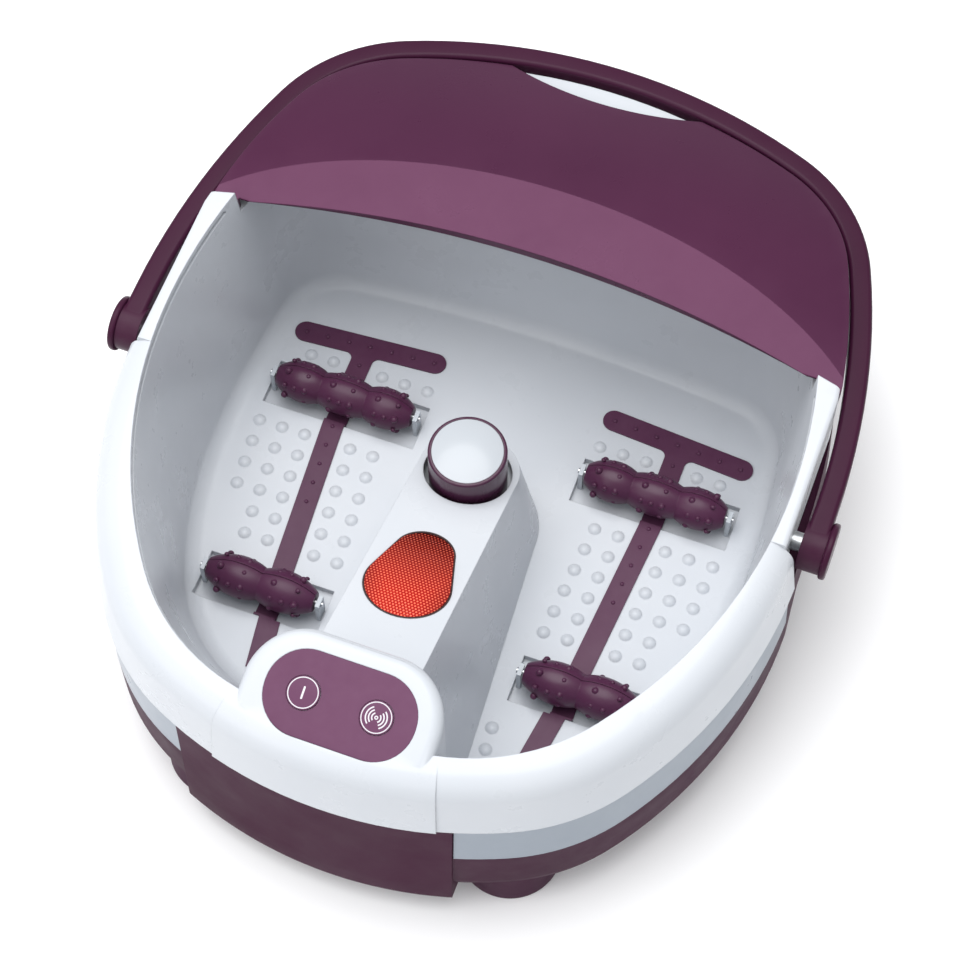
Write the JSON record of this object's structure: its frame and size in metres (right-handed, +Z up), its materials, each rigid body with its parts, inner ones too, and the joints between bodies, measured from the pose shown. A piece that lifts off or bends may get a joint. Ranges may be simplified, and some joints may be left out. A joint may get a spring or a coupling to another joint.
{
  "type": "foot spa basin",
  "caption": "Foot spa basin with a rolled rim, splash guard, swinging carry handle, floor massage rollers, bubble strips, infrared lens, pedicure attachment and push buttons.",
  "frame": {"origin": "on the ground under the middle of the overall bounding box", "axes": "+Z up, +Y towards the splash guard at the rear, +X to the right seen from the control panel"},
  "size_m": [0.3862, 0.4418, 0.1652],
  "materials": {
    "tub_white": "glossy injection-moulded plastic",
    "band_grey": "glossy grey-blue plastic",
    "base_plum": "satin-gloss plum plastic",
    "panel_plum": "satin-gloss plum plastic",
    "handle_plum": "satin-gloss plum plastic",
    "guard_plum": "glossy plum plastic",
    "roller_plum": "satin plum plastic",
    "strip_plum": "satin plum plastic",
    "knob_plum": "glossy plum plastic",
    "knob_white": "glossy white plastic",
    "lens_red": "translucent red plastic with a fine honeycomb inner face",
    "pad_plum": "satin membrane plastic",
    "button_plum": "satin plastic with a thin white ring",
    "foot_rubber": "satin plum rubber",
    "gasket_rubber": "matte black rubber",
    "clip_white": "white plastic",
    "steel": "plain turned steel",
    "board_green": "solder-mask laminate",
    "part_black": "moulded black plastic",
    "part_grey": "moulded grey plastic",
    "led_clear": "clear tinted resin",
    "heater_metal": "plain pressed aluminium"
  },
  "bodies": {
    "basin": {"air_pump": "part_grey", "base_screws": "steel", "base_shell": "base_plum", "bubble_strip_left": "strip_plum", "bubble_strip_right": "strip_plum", "control_board": "board_green", "control_pad": "pad_plum", "cord_gland": "part_black", "foot_front_left": "foot_rubber", "foot_front_right": "foot_rubber", "foot_rear_left": "foot_rubber", "foot_rear_right": "foot_rubber", "front_panel": "panel_plum", "heater_plate": "heater_metal", "infrared_board": "board_green", "infrared_leds": "led_clear", "infrared_lens": "lens_red", "lens_gasket": "gasket_rubber", "motor_clamp": "part_grey", "pivot_pin_left": "steel", "pivot_pin_right": "steel", "power_board": "board_green", "rear_band": "base_plum", "roller_clips": "clip_white", "side_band": "band_grey", "switch_massage": "part_black", "switch_power": "part_black", "tub": "tub_white", "vibration_motor": "steel"},
    "carry_handle": {"handle": "handle_plum", "handle_cap_left": "handle_plum", "handle_cap_right": "handle_plum"},
    "guard": {"splash_guard": "guard_plum"},
    "pedicure_attachment": {"pedicure_ring": "knob_plum", "pedicure_disc": "knob_white"},
    "power_button": {"button_power": "button_plum"},
    "massage_button": {"button_massage": "button_plum"},
    "rotor": {"eccentric_weight": "steel"},
    "roller_rear_left": {"roller_rear_left_front_half": "roller_plum", "roller_rear_left_rear_half": "roller_plum", "roller_rear_left_axle": "steel"},
    "roller_rear_right": {"roller_rear_right_front_half": "roller_plum", "roller_rear_right_rear_half": "roller_plum", "roller_rear_right_axle": "steel"},
    "roller_front_left": {"roller_front_left_front_half": "roller_plum", "roller_front_left_rear_half": "roller_plum", "roller_front_left_axle": "steel"},
    "roller_front_right": {"roller_front_right_front_half": "roller_plum", "roller_front_right_rear_half": "roller_plum", "roller_front_right_axle": "steel"}
  },
  "joints": [
    {"name": "handle_hinge", "type": "hinge", "parent": "basin", "child": "carry_handle", "pos_m": [0, -0.012, 0.126], "axis": [1, 0, 0], "range_deg": [0, 90]},
    {"name": "guard_lift", "type": "slide", "parent": "basin", "child": "guard", "axis": [0, 0, 1], "range_m": [0, 0.06]},
    {"name": "pedicure_lift", "type": "slide", "parent": "basin", "child": "pedicure_attachment", "axis": [0, 0, 1], "range_m": [0, 0.03]},
    {"name": "power_button_press", "type": "slide", "parent": "basin", "child": "power_button", "axis": [0, 0.342, -0.9397], "range_m": [0, 0.0015], "stiffness_N_per_m": 400},
    {"name": "massage_button_press", "type": "slide", "parent": "basin", "child": "massage_button", "axis": [0, 0.342, -0.9397], "range_m": [0, 0.0015], "stiffness_N_per_m": 400},
    {"name": "roller_rear_left_spin", "type": "hinge", "parent": "basin", "child": "roller_rear_left", "pos_m": [-0.09, 0.035, 0.0325], "axis": [1, 0, 0], "continuous": true},
    {"name": "roller_rear_right_spin", "type": "hinge", "parent": "basin", "child": "roller_rear_right", "pos_m": [0.09, 0.035, 0.0325], "axis": [1, 0, 0], "continuous": true},
    {"name": "roller_front_left_spin", "type": "hinge", "parent": "basin", "child": "roller_front_left", "pos_m": [-0.0895, -0.087, 0.0325], "axis": [1, 0, 0], "continuous": true},
    {"name": "roller_front_right_spin", "type": "hinge", "parent": "basin", "child": "roller_front_right", "pos_m": [0.0895, -0.087, 0.0325], "axis": [1, 0, 0], "continuous": true},
    {"name": "rotor_spin", "type": "hinge", "parent": "basin", "child": "rotor", "pos_m": [0, -0.052, 0.044], "axis": [0, 1, 0], "continuous": true}
  ]
}
